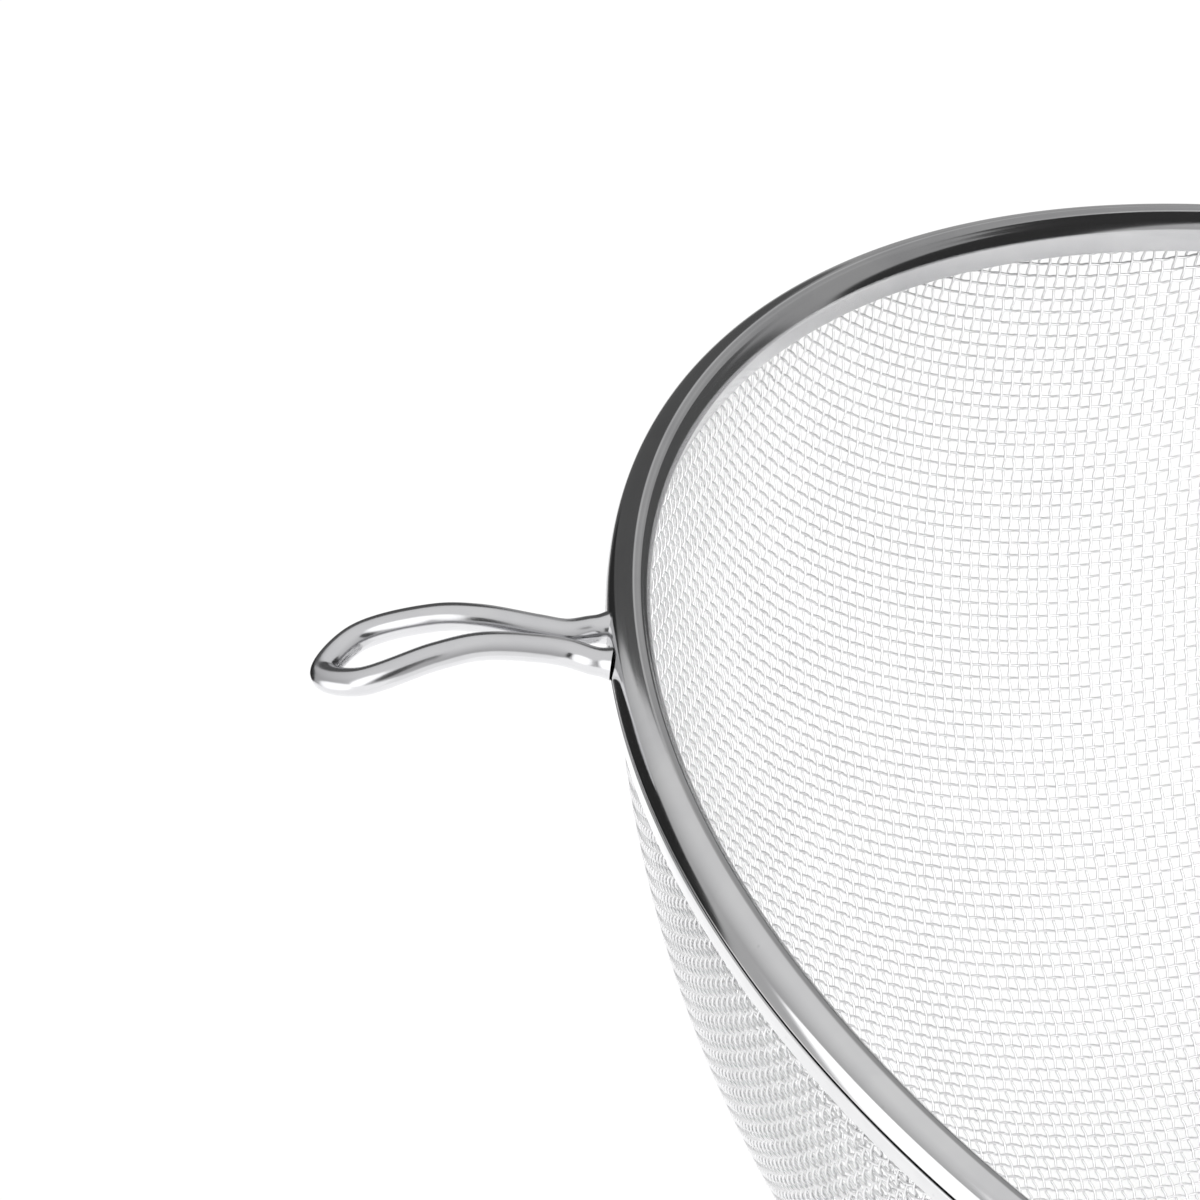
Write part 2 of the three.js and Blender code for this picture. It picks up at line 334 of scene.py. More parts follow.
def put(name, points, faces, place, sharp=35.0):
    """Makes a named piece from points in millimetres and groups of faces, set in the model's frame."""
    points = (np.c_[points, np.ones(len(points))] @ np.array(place).T)[:, :3]
    volume = 0.0
    for corners, _ in faces:
        at = points[corners]
        for k in range(1, corners.shape[1] - 1):
            volume += np.einsum("ij,ij->", at[:, 0], np.cross(at[:, k], at[:, k + 1]))
    turn = slice(None, None, -1) if volume < 0 else slice(None)
    corners = np.concatenate([f[:, turn].ravel() for f, _ in faces])
    lay = np.concatenate([u[:, turn].reshape(-1, 2) for _, u in faces])
    sizes = np.concatenate([np.full(len(f), f.shape[1]) for f, _ in faces])
    mesh = bpy.data.meshes.new(name)
    mesh.vertices.add(len(points))
    mesh.vertices.foreach_set("co", points.astype(np.float32).ravel())
    mesh.loops.add(len(corners))
    mesh.loops.foreach_set("vertex_index", corners.astype(np.int32))
    mesh.polygons.add(len(sizes))
    loop_starts = np.concatenate([[0], np.cumsum(sizes)[:-1]])
    mesh.polygons.foreach_set("loop_start", loop_starts.astype(np.int32))
    mesh.update(calc_edges=True)
    uv = mesh.uv_layers.new(name="lay")
    uv.data.foreach_set("uv", (lay * 0.001).astype(np.float32).ravel())
    if sharp:
        mesh.set_sharp_from_angle(angle=math.radians(sharp))
    piece = bpy.data.objects.new(name, mesh)
    bpy.context.scene.collection.objects.link(piece)
    return piece


def belongs(piece, node, finish):
    """Hands a piece over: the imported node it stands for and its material."""
    piece.data.materials.append(finish)
    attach(piece, "root")
    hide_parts(node)
    return piece


# Materials

def add(tree, kind, inputs=None, **settings):
    """A node with its settings, its values and its links."""
    node = tree.nodes.new(kind)
    for key, value in settings.items():
        setattr(node, key, value)
    for key, value in (inputs or {}).items():
        if isinstance(value, bpy.types.NodeSocket):
            tree.links.new(value, node.inputs[key])
        else:
            node.inputs[key].default_value = value
    return node


def new_group(name, inputs, outputs):
    """An empty node group with its sockets."""
    group = bpy.data.node_groups.new(name, "ShaderNodeTree")
    for socket, kind, default in inputs:
        made = group.interface.new_socket(socket, in_out="INPUT", socket_type=kind)
        if default is not None:
            made.default_value = default
    for socket, kind in outputs:
        group.interface.new_socket(socket, in_out="OUTPUT", socket_type=kind)
    return group, add(group, "NodeGroupInput"), add(group, "NodeGroupOutput")


def steel_marks():
    """Marks of making and use on steel: drawn lines, a cloudy handling haze and small specks, all 0 to 1."""
    group, given, result = new_group(
        "steel_marks",
        [
            ("Lay", "NodeSocketVector", None),
            ("Place", "NodeSocketVector", None),
            ("Lines Along", "NodeSocketFloat", 40.0),
            ("Lines Across", "NodeSocketFloat", 4000.0),
        ],
        [("Lines", "NodeSocketFloat"), ("Haze", "NodeSocketFloat"), ("Specks", "NodeSocketFloat")],
    )
    stretch = add(group, "ShaderNodeCombineXYZ", {
        "X": given.outputs["Lines Along"], "Y": given.outputs["Lines Across"],
    })
    laid = add(group, "ShaderNodeVectorMath", {
        0: given.outputs["Lay"], 1: stretch.outputs[0],
    }, operation="MULTIPLY")
    lines = add(group, "ShaderNodeTexNoise", {"Vector": laid.outputs[0], "Scale": 1.0, "Detail": 3.0})
    lines = add(group, "ShaderNodeMapRange", {
        "Value": lines.outputs["Fac"], "From Min": 0.3, "From Max": 0.7,
    })
    haze = add(group, "ShaderNodeTexNoise", {
        "Vector": given.outputs["Place"],
        "Scale": 60.0, "Detail": 4.0, "Roughness": 0.6, "Distortion": 0.6,
    })
    haze = add(group, "ShaderNodeMapRange", {
        "Value": haze.outputs["Fac"], "From Min": 0.35, "From Max": 0.7,
    })
    cells = add(group, "ShaderNodeTexVoronoi", {"Vector": given.outputs["Place"], "Scale": 900.0})
    dots = add(group, "ShaderNodeMapRange", {
        "Value": cells.outputs["Distance"],
        "From Min": 0.05, "From Max": 0.22, "To Min": 1.0, "To Max": 0.0,
    })
    where = add(group, "ShaderNodeTexNoise", {
        "Vector": given.outputs["Place"], "Scale": 330.0, "Detail": 1.0,
    })
    where = add(group, "ShaderNodeMapRange", {
        "Value": where.outputs["Fac"], "From Min": 0.63, "From Max": 0.73,
    })
    specks = add(group, "ShaderNodeMath", {0: dots.outputs[0], 1: where.outputs[0]}, operation="MULTIPLY")
    for socket, node in (("Lines", lines), ("Haze", haze), ("Specks", specks)):
        group.links.new(node.outputs[0], result.inputs[socket])
    return group


marks_group = steel_marks()


def steel(name, light, dark, rough, lines, depth, speck_depth=0.0, rough_spread=0.06):
    """Bare steel: its two tones, its roughness and how far that spreads, how its drawn lines run (per metre
    along and across) and how deep in metres, and how deep its specks are against them."""
    material = bpy.data.materials.new(name)
    material.use_nodes = True
    tree = material.node_tree
    shader = tree.nodes["Principled BSDF"]
    shader.inputs["Metallic"].default_value = 1.0
    where = add(tree, "ShaderNodeTexCoord")
    lay = add(tree, "ShaderNodeUVMap", uv_map="lay")
    marks = add(tree, "ShaderNodeGroup", node_tree=marks_group)
    tree.links.new(lay.outputs[0], marks.inputs["Lay"])
    tree.links.new(where.outputs["Object"], marks.inputs["Place"])
    marks.inputs["Lines Along"].default_value = lines[0]
    marks.inputs["Lines Across"].default_value = lines[1]
    tone = add(tree, "ShaderNodeMix", {
        "Factor": marks.outputs["Haze"], 6: (*light, 1.0), 7: (*dark, 1.0),
    }, data_type="RGBA")
    speck_tone = tuple(0.92 * c for c in dark) + (1.0,)
    spotted = add(tree, "ShaderNodeMix", {
        "Factor": marks.outputs["Specks"], 6: tone.outputs[2], 7: speck_tone,
    }, data_type="RGBA")
    tree.links.new(spotted.outputs[2], shader.inputs["Base Color"])
    worn = add(tree, "ShaderNodeMath", {
        0: marks.outputs["Lines"], 1: marks.outputs["Haze"],
    }, operation="ADD")
    roughness = add(tree, "ShaderNodeMapRange", {
        "Value": worn.outputs[0], "From Min": 0.0, "From Max": 2.0,
        "To Min": rough - rough_spread / 2, "To Max": rough + rough_spread / 2,
    })
    tree.links.new(roughness.outputs[0], shader.inputs["Roughness"])
    pits = add(tree, "ShaderNodeMath", {
        0: marks.outputs["Specks"], 1: -speck_depth,
    }, operation="MULTIPLY")
    height = add(tree, "ShaderNodeMath", {
        0: marks.outputs["Lines"], 1: pits.outputs[0],
    }, operation="ADD")
    bump = add(tree, "ShaderNodeBump", {
        "Height": height.outputs[0], "Strength": 1.0, "Distance": depth,
    })
    tree.links.new(bump.outputs[0], shader.inputs["Normal"])
    return material


rim_steel = steel(
    "polished_rim_steel", light=(0.60, 0.60, 0.605), dark=(0.54, 0.54, 0.55),
    rough=0.13, lines=(60, 5200), depth=6e-7, speck_depth=0.8,
)
hook_steel = steel(
    "polished_wire_steel", light=(0.60, 0.60, 0.61), dark=(0.54, 0.54, 0.555),
    rough=0.19, lines=(70, 4200), depth=6e-7, speck_depth=1.0,
)
fitting_steel = steel(
    "polished_fitting_steel", light=(0.61, 0.61, 0.62), dark=(0.55, 0.55, 0.56),
    rough=0.14, lines=(90, 5000), depth=6e-7,
)
grip_steel = steel(
    "satin_grip_steel", light=(0.58, 0.585, 0.595), dark=(0.51, 0.515, 0.525),
    rough=0.30, lines=(4200, 55), depth=1.6e-6, rough_spread=0.1,
)
weave_steel = steel(
    "drawn_weave_steel", light=(0.80, 0.80, 0.805), dark=(0.74, 0.74, 0.745),
    rough=0.55, lines=(300, 9000), depth=8e-7,
)


# Rim cap and outer band

def cap_section():
    """The folded strip's closed outline, as (height, distance from the rim's axis)."""
    def way(lean):
        return np.array([math.sin(lean), math.cos(lean)])

    foot_top = np.array([-cap_inset, flank_start])
    flank_top = np.array(flank_end)
    crest = np.array([crest_at, cap_rise])
    belly = np.array([cap_overhang, wall_belly])
    wall_foot = np.array([cap_overhang - wall_foot_inset, strip_thickness / 2 - cap_lip_drop])
    flank = bezier([
        foot_top,
        foot_top + way(flank_lean_low) * flank_pull,
        flank_top - way(flank_lean_high) * flank_pull,
        flank_top,
    ], 20)
    crown_start = flank_top + way(flank_lean_high) * crown_pull
    inner_foot = (-cap_inset, strip_thickness / 2 - cap_inner_depth)
    outside = np.vstack([
        eased([inner_foot, foot_top, flank[3]], (foot_ease,))[:-1],
        flank[3:],
        bezier([flank_top, crown_start, crest - (crown_pull, 0), crest], 20)[1:],
        bezier([crest, crest + (crest_pull, 0), belly + (0, belly_pull_up), belly], 44)[1:],
        bezier([belly, belly - (0, belly_pull_down), wall_foot + wall_foot_pull, wall_foot], 12)[1:],
    ])
    ahead = np.gradient(outside, axis=0)
    ahead /= np.linalg.norm(ahead, axis=1)[:, None]
    from_line = outside[:, 0] - rolled_line_at
    ripple = -rolled_line_depth * np.cos(2 * math.pi * from_line / rolled_line_width)
    ripple *= np.exp(-((from_line / rolled_line_width) ** 2)) * (outside[:, 1] > 0)
    outside += ripple[:, None] * np.stack([-ahead[:, 1], ahead[:, 0]], 1)
    inset = strip_thickness - cap_inset
    overhang = cap_overhang - strip_thickness
    inside = eased([
        (overhang, strip_thickness / 2 - cap_lip_drop),
        (overhang, 0.1),
        (crest_at + 0.6, cap_rise - 1.2 * strip_thickness),
        (flank_top[0] + 0.6, flank_top[1] - 0.3),
        (inset, flank_start - 0.1),
        (inset, strip_thickness / 2 - cap_inner_depth),
    ], (0.3, 0.4, 0.4, 0.3), 3)

    def round_end(start, end):
        middle, reach = (start + end) / 2, np.linalg.norm(end - start) / 2
        to_start = (start - middle) / reach
        turn = np.linspace(0, math.pi, 9)[1:-1, None]
        return middle + reach * (np.cos(turn) * to_start + np.sin(turn) * np.array((0.0, -1.0)))

    line = np.vstack([
        outside,
        round_end(outside[-1], inside[0]),
        inside,
        round_end(inside[-1], outside[0]),
    ])
    return np.stack([line[:, 1], line[:, 0] + mesh_radius], 1)


points, faces = turned(cap_section(), ring_steps, "Z", True)
belongs(put("rim_cap_strip", points, faces, rim_to_model), "rim_cap", rim_steel)


def band_section():
    """The outer band's closed outline, as (height, distance from the rim's axis)."""
    shoulder = -cap_lip_drop - seat_gap
    corners = [
        (seat_gap, (band_top - band_depth) / 2),
        (seat_gap, -band_depth),
        (band_toe_reach, -band_depth),
        (band_foot_reach, shoulder),
        (band_neck_reach, shoulder),
        (band_neck_reach, band_top),
        (seat_gap, band_top),
        (seat_gap, (band_top - band_depth) / 2),
    ]
    line = eased(corners, (0.15, 0.2, 0.25, 0.15, 0.2, 0.2))[:-1]
    return np.stack([line[:, 1], line[:, 0] + mesh_radius], 1)


points, faces = turned(band_section(), ring_steps, "Z", True)
belongs(put("outer_band_strip", points, faces, rim_to_model), "outer_band", rim_steel)


# Woven bowl: a net of two families of wires, its steps kept along every wire, laid on the dome from its
# lowest point

def dome_line():
    """The middle of the woven cloth in section, from the lowest point up into the rim."""
    wall = np.array([-math.sin(dome_lean), -math.cos(dome_lean)])
    top = np.array([mesh_radius, -dome_start])
    outer = bezier([
        (0, -dome_depth),
        (dome_floor_reach, -dome_depth),
        top + wall * dome_wall_reach,
        top,
    ], 2400)
    way = np.gradient(outer, axis=0)
    way /= np.linalg.norm(way, axis=1)[:, None]
    middle = outer + weave_half_stack * np.stack([-way[:, 1], way[:, 0]], 1)
    middle[0, 0] = 0
    heights = np.linspace(middle[-1, 1], cloth_overrun, cloth_overrun_steps)[1:]
    edge = np.array([[middle[-1, 0], z] for z in heights])
    return np.vstack([middle, edge])


dome = dome_line()
dome_at = lengths(dome)
dome_way = np.gradient(dome, axis=0)
dome_way /= np.linalg.norm(dome_way, axis=1)[:, None]


def on_dome(at, angle):
    """A point of the dome by its distance from the lowest point and its angle round the rim."""
    reach = np.interp(at, dome_at, dome[:, 0])
    return np.stack([reach * np.cos(angle), reach * np.sin(angle), np.interp(at, dome_at, dome[:, 1])], -1)


def off_dome(at, angle):
    """The direction square to the dome, outwards, at such a point."""
    along = np.interp(at, dome_at, dome_way[:, 0])
    up = np.interp(at, dome_at, dome_way[:, 1])
    return np.stack([up * np.cos(angle), up * np.sin(angle), -along], -1)


def net_quarter(start_angle, end_angle, step_a, step_b):
    """Crossings between two first wires that leave the lowest point at two angles, each next one a step from
    its two neighbours: the distance and the angle of each on the dome."""
    count = int(dome_at[-1] / min(step_a, step_b))
    at = np.full((count, count), np.nan)
    angle = np.full((count, count), np.nan)
    at[:, 0], angle[:, 0] = np.arange(count) * step_a, start_angle
    at[0, :], angle[0, :] = np.arange(count) * step_b, end_angle
    at[at > dome_at[-1]] = np.nan
    place = on_dome(at, angle)
    small = net_nudge
    for diagonal in range(2, 2 * count - 1):
        i = np.arange(max(1, diagonal - count + 1), min(count - 1, diagonal - 1) + 1)
        j = diagonal - i
        known = ~np.isnan(at[i, j - 1]) & ~np.isnan(at[i - 1, j])
        i, j = i[known], j[known]
        if not len(i):
            continue
        left, below, corner = place[i, j - 1], place[i - 1, j], place[i - 1, j - 1]
        guess = left + below - corner
        turn = np.arctan2(guess[:, 1], guess[:, 0])
        far = np.maximum(at[i, j - 1], at[i - 1, j]) + 0.5 * min(step_a, step_b)
        for _ in range(net_rounds):
            here = on_dome(far, turn)
            miss_b = ((here - left) ** 2).sum(1) - step_b ** 2
            miss_a = ((here - below) ** 2).sum(1) - step_a ** 2
            outwards = (on_dome(far + small, turn) - on_dome(far - small, turn)) / (2 * small)
            around = (on_dome(far, turn + small) - on_dome(far, turn - small)) / (2 * small)
            bo, ba = ((here - left) * outwards).sum(1) * 2, ((here - left) * around).sum(1) * 2
            ao, aa = ((here - below) * outwards).sum(1) * 2, ((here - below) * around).sum(1) * 2
            scale = bo * aa - ba * ao
            move = (miss_b * aa - miss_a * ba) / scale
            swing = (bo * miss_a - ao * miss_b) / scale
            far = far - np.clip(move, -net_longest_move, net_longest_move)
            turn = turn - np.clip(swing, -net_widest_turn, net_widest_turn)
        here = on_dome(far, turn)
        wrong = np.abs(((here - left) ** 2).sum(1) - step_b ** 2) > net_tolerance
        wrong |= np.abs(((here - below) ** 2).sum(1) - step_a ** 2) > net_tolerance
        wrong |= far > dome_at[-1]
        far[wrong] = np.nan
        at[i, j], angle[i, j] = far, turn
        place[i, j] = on_dome(far, turn)
    return at, angle


def whole_net():
    """Distance and angle of every crossing, by its number along the rows' way and along the columns' way."""
    first = net_quarter(row_angle, column_angle, row_step, column_step)
    second = net_quarter(column_angle, row_angle + math.pi, column_step, row_step)
    half = max(len(first[0]), len(second[0]))
    at = np.full((2 * half + 1, 2 * half + 1), np.nan)
    angle = at.copy()
    for (far, turn), swap in ((first, False), (second, True)):
        i, j = np.indices(far.shape)
        u, v = (-j, i) if swap else (i, j)
        for sign, more in ((1, 0.0), (-1, math.pi)):
            at[half + sign * u, half + sign * v] = far
            angle[half + sign * u, half + sign * v] = turn + more
    return at, angle, half


def weave_wires(at, angle, half, by_rows):
    """Each wire of a family as runs of points and of directions square to the dome, bent over and under."""
    runs = []
    bend = row_lift if by_rows else -column_lift
    for line in range(-half, half + 1):
        far = at[:, line + half] if by_rows else at[line + half, :]
        turn = angle[:, line + half] if by_rows else angle[line + half, :]
        numbers = np.arange(-half, half + 1)
        known = ~np.isnan(far)
        if known.sum() < 3:
            continue
        place, out = on_dome(far, turn), off_dome(far, turn)
        lift = bend * np.where((numbers + line) % 2 == 0, 1.0, -1.0)
        place_a = place[:-1] * 0.75 + place[1:] * 0.25 + out[:-1] * lift[:-1, None]
        place_b = place[:-1] * 0.25 + place[1:] * 0.75 + out[1:] * lift[1:, None]
        points = np.stack([place_a, place_b], 1).reshape(-1, 3)
        outs = np.stack([out[:-1], out[1:]], 1).reshape(-1, 3)
        inside = ~np.isnan(points[:, 0])
        inside[inside] = points[inside][:, 2] < weave_top
        edges = np.flatnonzero(np.diff(np.concatenate([[0], inside.astype(int), [0]])))
        for start, stop in zip(edges[::2], edges[1::2]):
            if stop - start > 3:
                runs.append((points[start:stop], outs[start:stop]))
    return runs


def weave_piece(name, runs):
    """Wires as fine tubes in one mesh, with a strip of the baking map for each."""
    points = np.vstack([p for p, _ in runs])
    outs = np.vstack([o for _, o in runs])
    counts = np.array([len(p) for p, _ in runs])
    starts = np.concatenate([[0], np.cumsum(counts)[:-1]])
    ends = starts + counts - 1
    ahead, behind = np.arange(len(points)) + 1, np.arange(len(points)) - 1
    ahead[ends], behind[starts] = ends, starts
    tangent = points[ahead] - points[behind]
    tangent /= np.linalg.norm(tangent, axis=1)[:, None]
    up = outs - tangent * (outs * tangent).sum(1)[:, None]
    up /= np.linalg.norm(up, axis=1)[:, None]
    side = np.cross(tangent, up)
    angle = np.arange(weave_sides) / weave_sides * 2 * math.pi
    ring = up[:, None] * np.cos(angle)[None, :, None] + side[:, None] * np.sin(angle)[None, :, None]
    skin_points = (points[:, None] + wire_radius * ring).reshape(-1, 3)
    follows = np.ones(len(points), bool)
    follows[ends] = False
    rows = np.flatnonzero(follows)
    j = np.arange(weave_sides)
    base = rows[:, None] * weave_sides
    over = (rows[:, None] + 1) * weave_sides
    next_j = (j + 1) % weave_sides
    corners = np.broadcast_arrays(base + j, base + next_j, over + next_j, over + j)
    faces = np.stack(corners, -1).reshape(-1, 4)
    walked = np.concatenate([lengths(p) for p, _ in runs])
    round_step = 2 * math.pi * wire_radius / weave_sides
    a, b = walked[rows][:, None] + 0 * j, walked[rows + 1][:, None] + 0 * j
    c = 0 * base + j * round_step
    lay = np.stack([
        np.stack([a, c], -1), np.stack([a, c + round_step], -1),
        np.stack([b, c + round_step], -1), np.stack([b, c], -1),
    ], 2).reshape(-1, 4, 2)
    wire_number = np.repeat(np.arange(len(runs)), counts)[rows]
    longest = walked.max()
    height = 1.0 / len(runs)
    strip = lay.copy()
    strip[..., 0] = bake_start + lay[..., 0] / longest * bake_reach
    share = lay[..., 1] / (weave_sides * round_step)
    strip_number = np.repeat(wire_number, weave_sides)[:, None]
    strip[..., 1] = height * (strip_number + bake_gap + (1 - 2 * bake_gap) * share)
    lids = []
    for ring_start, turn in [(s, -1) for s in starts] + [(e, 1) for e in ends]:
        corner = ring_start * weave_sides
        for quad in ((0, 1, 2, 3), (0, 3, 4, 5)):
            lids.append([corner + q for q in quad][::turn])
    lid_lay = np.zeros((len(lids), 4, 2))
    piece = put(name, skin_points, [(faces, lay), (np.array(lids), lid_lay)], rim_to_model, 0)
    bake = piece.data.uv_layers.new(name="OFBake")
    flipped = piece.data.loops[0].vertex_index != faces[0, 0]
    strip = strip[:, ::-1] if flipped else strip
    lid_strip = np.full((len(lids), 4, 2), bake_lid_at)
    lid_strip[:, 1:3, 0] = bake_lid_end
    lid_strip[:, 2:4, 1] = bake_lid_end
    bake_map = np.concatenate([strip.reshape(-1, 2), lid_strip.reshape(-1, 2)])
    bake.data.foreach_set("uv", bake_map.astype(np.float32).ravel())
    return piece


weave_pieces = bpy.data.collections.new("weave_pieces")
net_at, net_angle, net_half = whole_net()
for family, by_rows in (("rows", True), ("columns", False)):
    runs = weave_wires(net_at, net_angle, net_half, by_rows)
    total = sum(len(p) for p, _ in runs)
    shares = [[] for _ in range(weave_shares)]
    done = 0
    for run in runs:
        shares[min(weave_shares - 1, done * weave_shares // total)].append(run)
        done += len(run[0])
    for number, share in enumerate(shares, 1):
        piece = weave_piece(f"weave_{family}_{number}", share)
        belongs(piece, "mesh_bowl", weave_steel)
        weave_pieces.objects.link(piece)


# Rest hook

def lengthened(line, reach):
    """A line carried on straight past both ends."""
    start = line[0] - line[1]
    end = line[-1] - line[-2]
    return np.vstack([
        line[0] + start / np.linalg.norm(start) * reach,
        line,
        line[-1] + end / np.linalg.norm(end) * reach,
    ])


def swell(distance, size, run):
    """How much a wire thickens where it is joined, fading with the distance from the joint."""
    return size * np.exp(-np.clip(distance, 0, None) / run)


def hook_path():
    """The hook wire's centre line, bent from one leg round to the other."""
    start = np.array([weld_radius, -hook_leg_drop])
    tip = np.array([mesh_radius + hook_reach, -hook_drop])
    leg_way = np.array([math.cos(hook_leg_slope), -math.sin(hook_leg_slope)])
    tip_way = np.array([math.cos(hook_tip_slope), -math.sin(hook_tip_slope)])
    side = [start, start + leg_way * hook_leg_run, tip - tip_way * hook_tip_run, tip]
    neck = (hook_wire + hook_neck_gap) / 2
    wide = hook_loop_width / 2
    stations = (
        (0.0, hook_leg_spread / 2),
        (0.04, hook_leg_spread * 0.46),
        (0.14, neck),
        (0.28, neck),
        (0.55, neck + (wide - neck) * 0.36),
        (0.72, neck + (wide - neck) * 0.8),
        (0.93, wide),
        (1.0, 0.0),
    )
    leg = []
    for share, half in stations:
        a, b, c, d = side
        s = 1 - share
        at = s ** 3 * a + 3 * share * s ** 2 * b + 3 * share ** 2 * s * c + share ** 3 * d
        leg.append((-at[0], -half, at[1]))
    other = [(x, -y, z) for x, y, z in leg[:-1]]
    return lengthened(through(leg + other[::-1], hook_path_step), hook_end_overrun)


path = hook_path()
from_wall = np.hypot(path[:, 0], path[:, 1]) - (mesh_radius + cap_overhang)
weld = swell(from_wall, hook_weld, hook_weld)
points, faces = swept(path, hook_wire / 2 + weld, hook_sides)
belongs(put("rest_hook_wire", points, faces, rim_to_model), "rest_hook", hook_steel)


# Handle fork

def fork_path():
    """The fork wire's centre line, from one foot on the rim through the ferrule and back to the other."""
    foot = fork_spread / 2
    foot_reach = math.sqrt(weld_radius ** 2 - (foot - fork_wire / 2) ** 2)

    def along(x, y):
        return np.array(handle_to_rim @ Vector((x, y, 0)))

    lead = along(-ferrule_nose - fork_lead, fork_leg_half)
    foot_out = np.array([foot_reach + fork_wire, foot, -fork_drop])
    leg = [
        np.array([foot_reach, foot, -fork_drop]),
        foot_out,
        foot_out + (lead - foot_out) * fork_bend_at,
        lead,
        along(-ferrule_nose, fork_leg_half),
        along(plug_length, fork_leg_half),
        along(fork_tail, fork_leg_half),
        along(fork_tail + fork_leg_half * math.sqrt(0.5), fork_leg_half * math.sqrt(0.5)),
        along(fork_tail + fork_leg_half, 0),
    ]
    other = [p * (1, -1, 1) for p in leg[:-1]]
    return lengthened(through(leg + other[::-1], fork_path_step), fork_end_overrun)


path = fork_path()
from_wall = np.hypot(path[:, 0], path[:, 1]) - (mesh_radius + cap_overhang)
rim_to_handle = np.array(handle_to_rim.inverted())
to_nose = -ferrule_nose - (np.c_[path, np.ones(len(path))] @ rim_to_handle.T)[:, 0]
weld = swell(from_wall, fork_weld, fork_weld)
brazed = np.where(to_nose > -braze_depth, swell(to_nose, braze, braze_run), 0)
points, faces = swept(path, fork_wire / 2 + weld + brazed, fork_sides)
belongs(put("handle_fork_wire", points, faces, rim_to_model), "handle_fork", hook_steel)


# Handle: ferrule, grip, end plug and hanging eye

line = eased([
    (-ferrule_nose, end_lid_radius),
    (-ferrule_nose, ferrule_nose_radius - ferrule_chamfer),
    (-ferrule_nose + ferrule_chamfer, ferrule_nose_radius),
    (0, grip_front_radius),
    (ferrule_collar, grip_front_radius),
    (ferrule_collar, plug_radius),
    (ferrule_collar + plug_length, plug_radius),
    (ferrule_collar + plug_length, end_lid_radius),
], (0.5, 0.5, 0.8, 0.3, 0.2, 0.4))
points, faces = turned(line, handle_steps, "X", False)
piece = put("ferrule_body", points, faces, handle_to_model)
belongs(piece, "handle_ferrule", fitting_steel)


def grip_line():
    """The grip's outside, swelling to its belly, as (along the handle, radius)."""
    ends = np.array([
        (grip_start, grip_front_radius),
        (grip_start + grip_belly_at, grip_belly_radius),
        (grip_end, grip_end_radius),
    ])
    padded = np.vstack([ends[:1], ends, ends[-1:]])
    t = np.linspace(0, 1, 60)[:, None]
    line = []
    for p0, p1, p2, p3 in zip(padded, padded[1:], padded[2:], padded[3:]):
        leave, arrive = (p2 - p0) / 2, (p3 - p1) / 2
        line.append(
            (2 * p1 - 2 * p2 + leave + arrive) * t ** 3 + (-3 * p1 + 3 * p2 - 2 * leave - arrive) * t ** 2
            + leave * t + p1
        )
    return respaced(np.vstack([line[0], line[1][1:]]), grip_step)


outside = grip_line()
line = np.vstack([
    eased([
        (grip_start + grip_bore_seen, grip_bore_radius),
        (grip_start, grip_bore_radius),
        outside[0],
        outside[1],
    ], (0.2, 0.35)),
    outside[2:-2],
    eased([
        outside[-2],
        outside[-1],
        (grip_end, grip_bore_radius),
        (grip_end - grip_bore_seen, grip_bore_radius),
    ], (0.35, 0.2)),
])
points, faces = turned(line, handle_steps, "X", True)
belongs(put("grip_tube", points, faces, handle_to_model), "handle_grip", grip_steel)

nose = np.array([
    (plug_face + end_plug_rim + end_plug_nose * math.sin(a), end_plug_nose_radius
     + (grip_end_radius - end_plug_nose_radius) * math.cos(a))
    for a in np.linspace(0, math.pi / 2, 9)
])
line = np.vstack([
    eased([
        (plug_face - plug_length, end_lid_radius),
        (plug_face - plug_length, plug_radius),
        (plug_face, plug_radius),
        (plug_face, grip_end_radius),
        (plug_face + end_plug_rim - 0.2, grip_end_radius),
    ], (0.4, 0.2, 0.3)),
    nose,
    [(plug_tip, end_lid_radius)],
])
points, faces = turned(line, handle_steps, "X", False)
piece = put("end_plug_body", points, faces, handle_to_model)
belongs(piece, "handle_end_plug", fitting_steel)


def rounded(x0, x1, width, corner, steps=14):
    """A rounded rectangle's outline."""
    half = width / 2
    line = []
    for cx, cy, start in (
        (x1 - corner, half - corner, 0.0),
        (x0 + corner, half - corner, 0.5),
        (x0 + corner, -half + corner, 1.0),
        (x1 - corner, -half + corner, 1.5),
    ):
        for k in range(steps + 1):
            a = math.pi * (start + 0.5 * k / steps)
            line.append((cx + corner * math.cos(a), cy + corner * math.sin(a)))
    return line


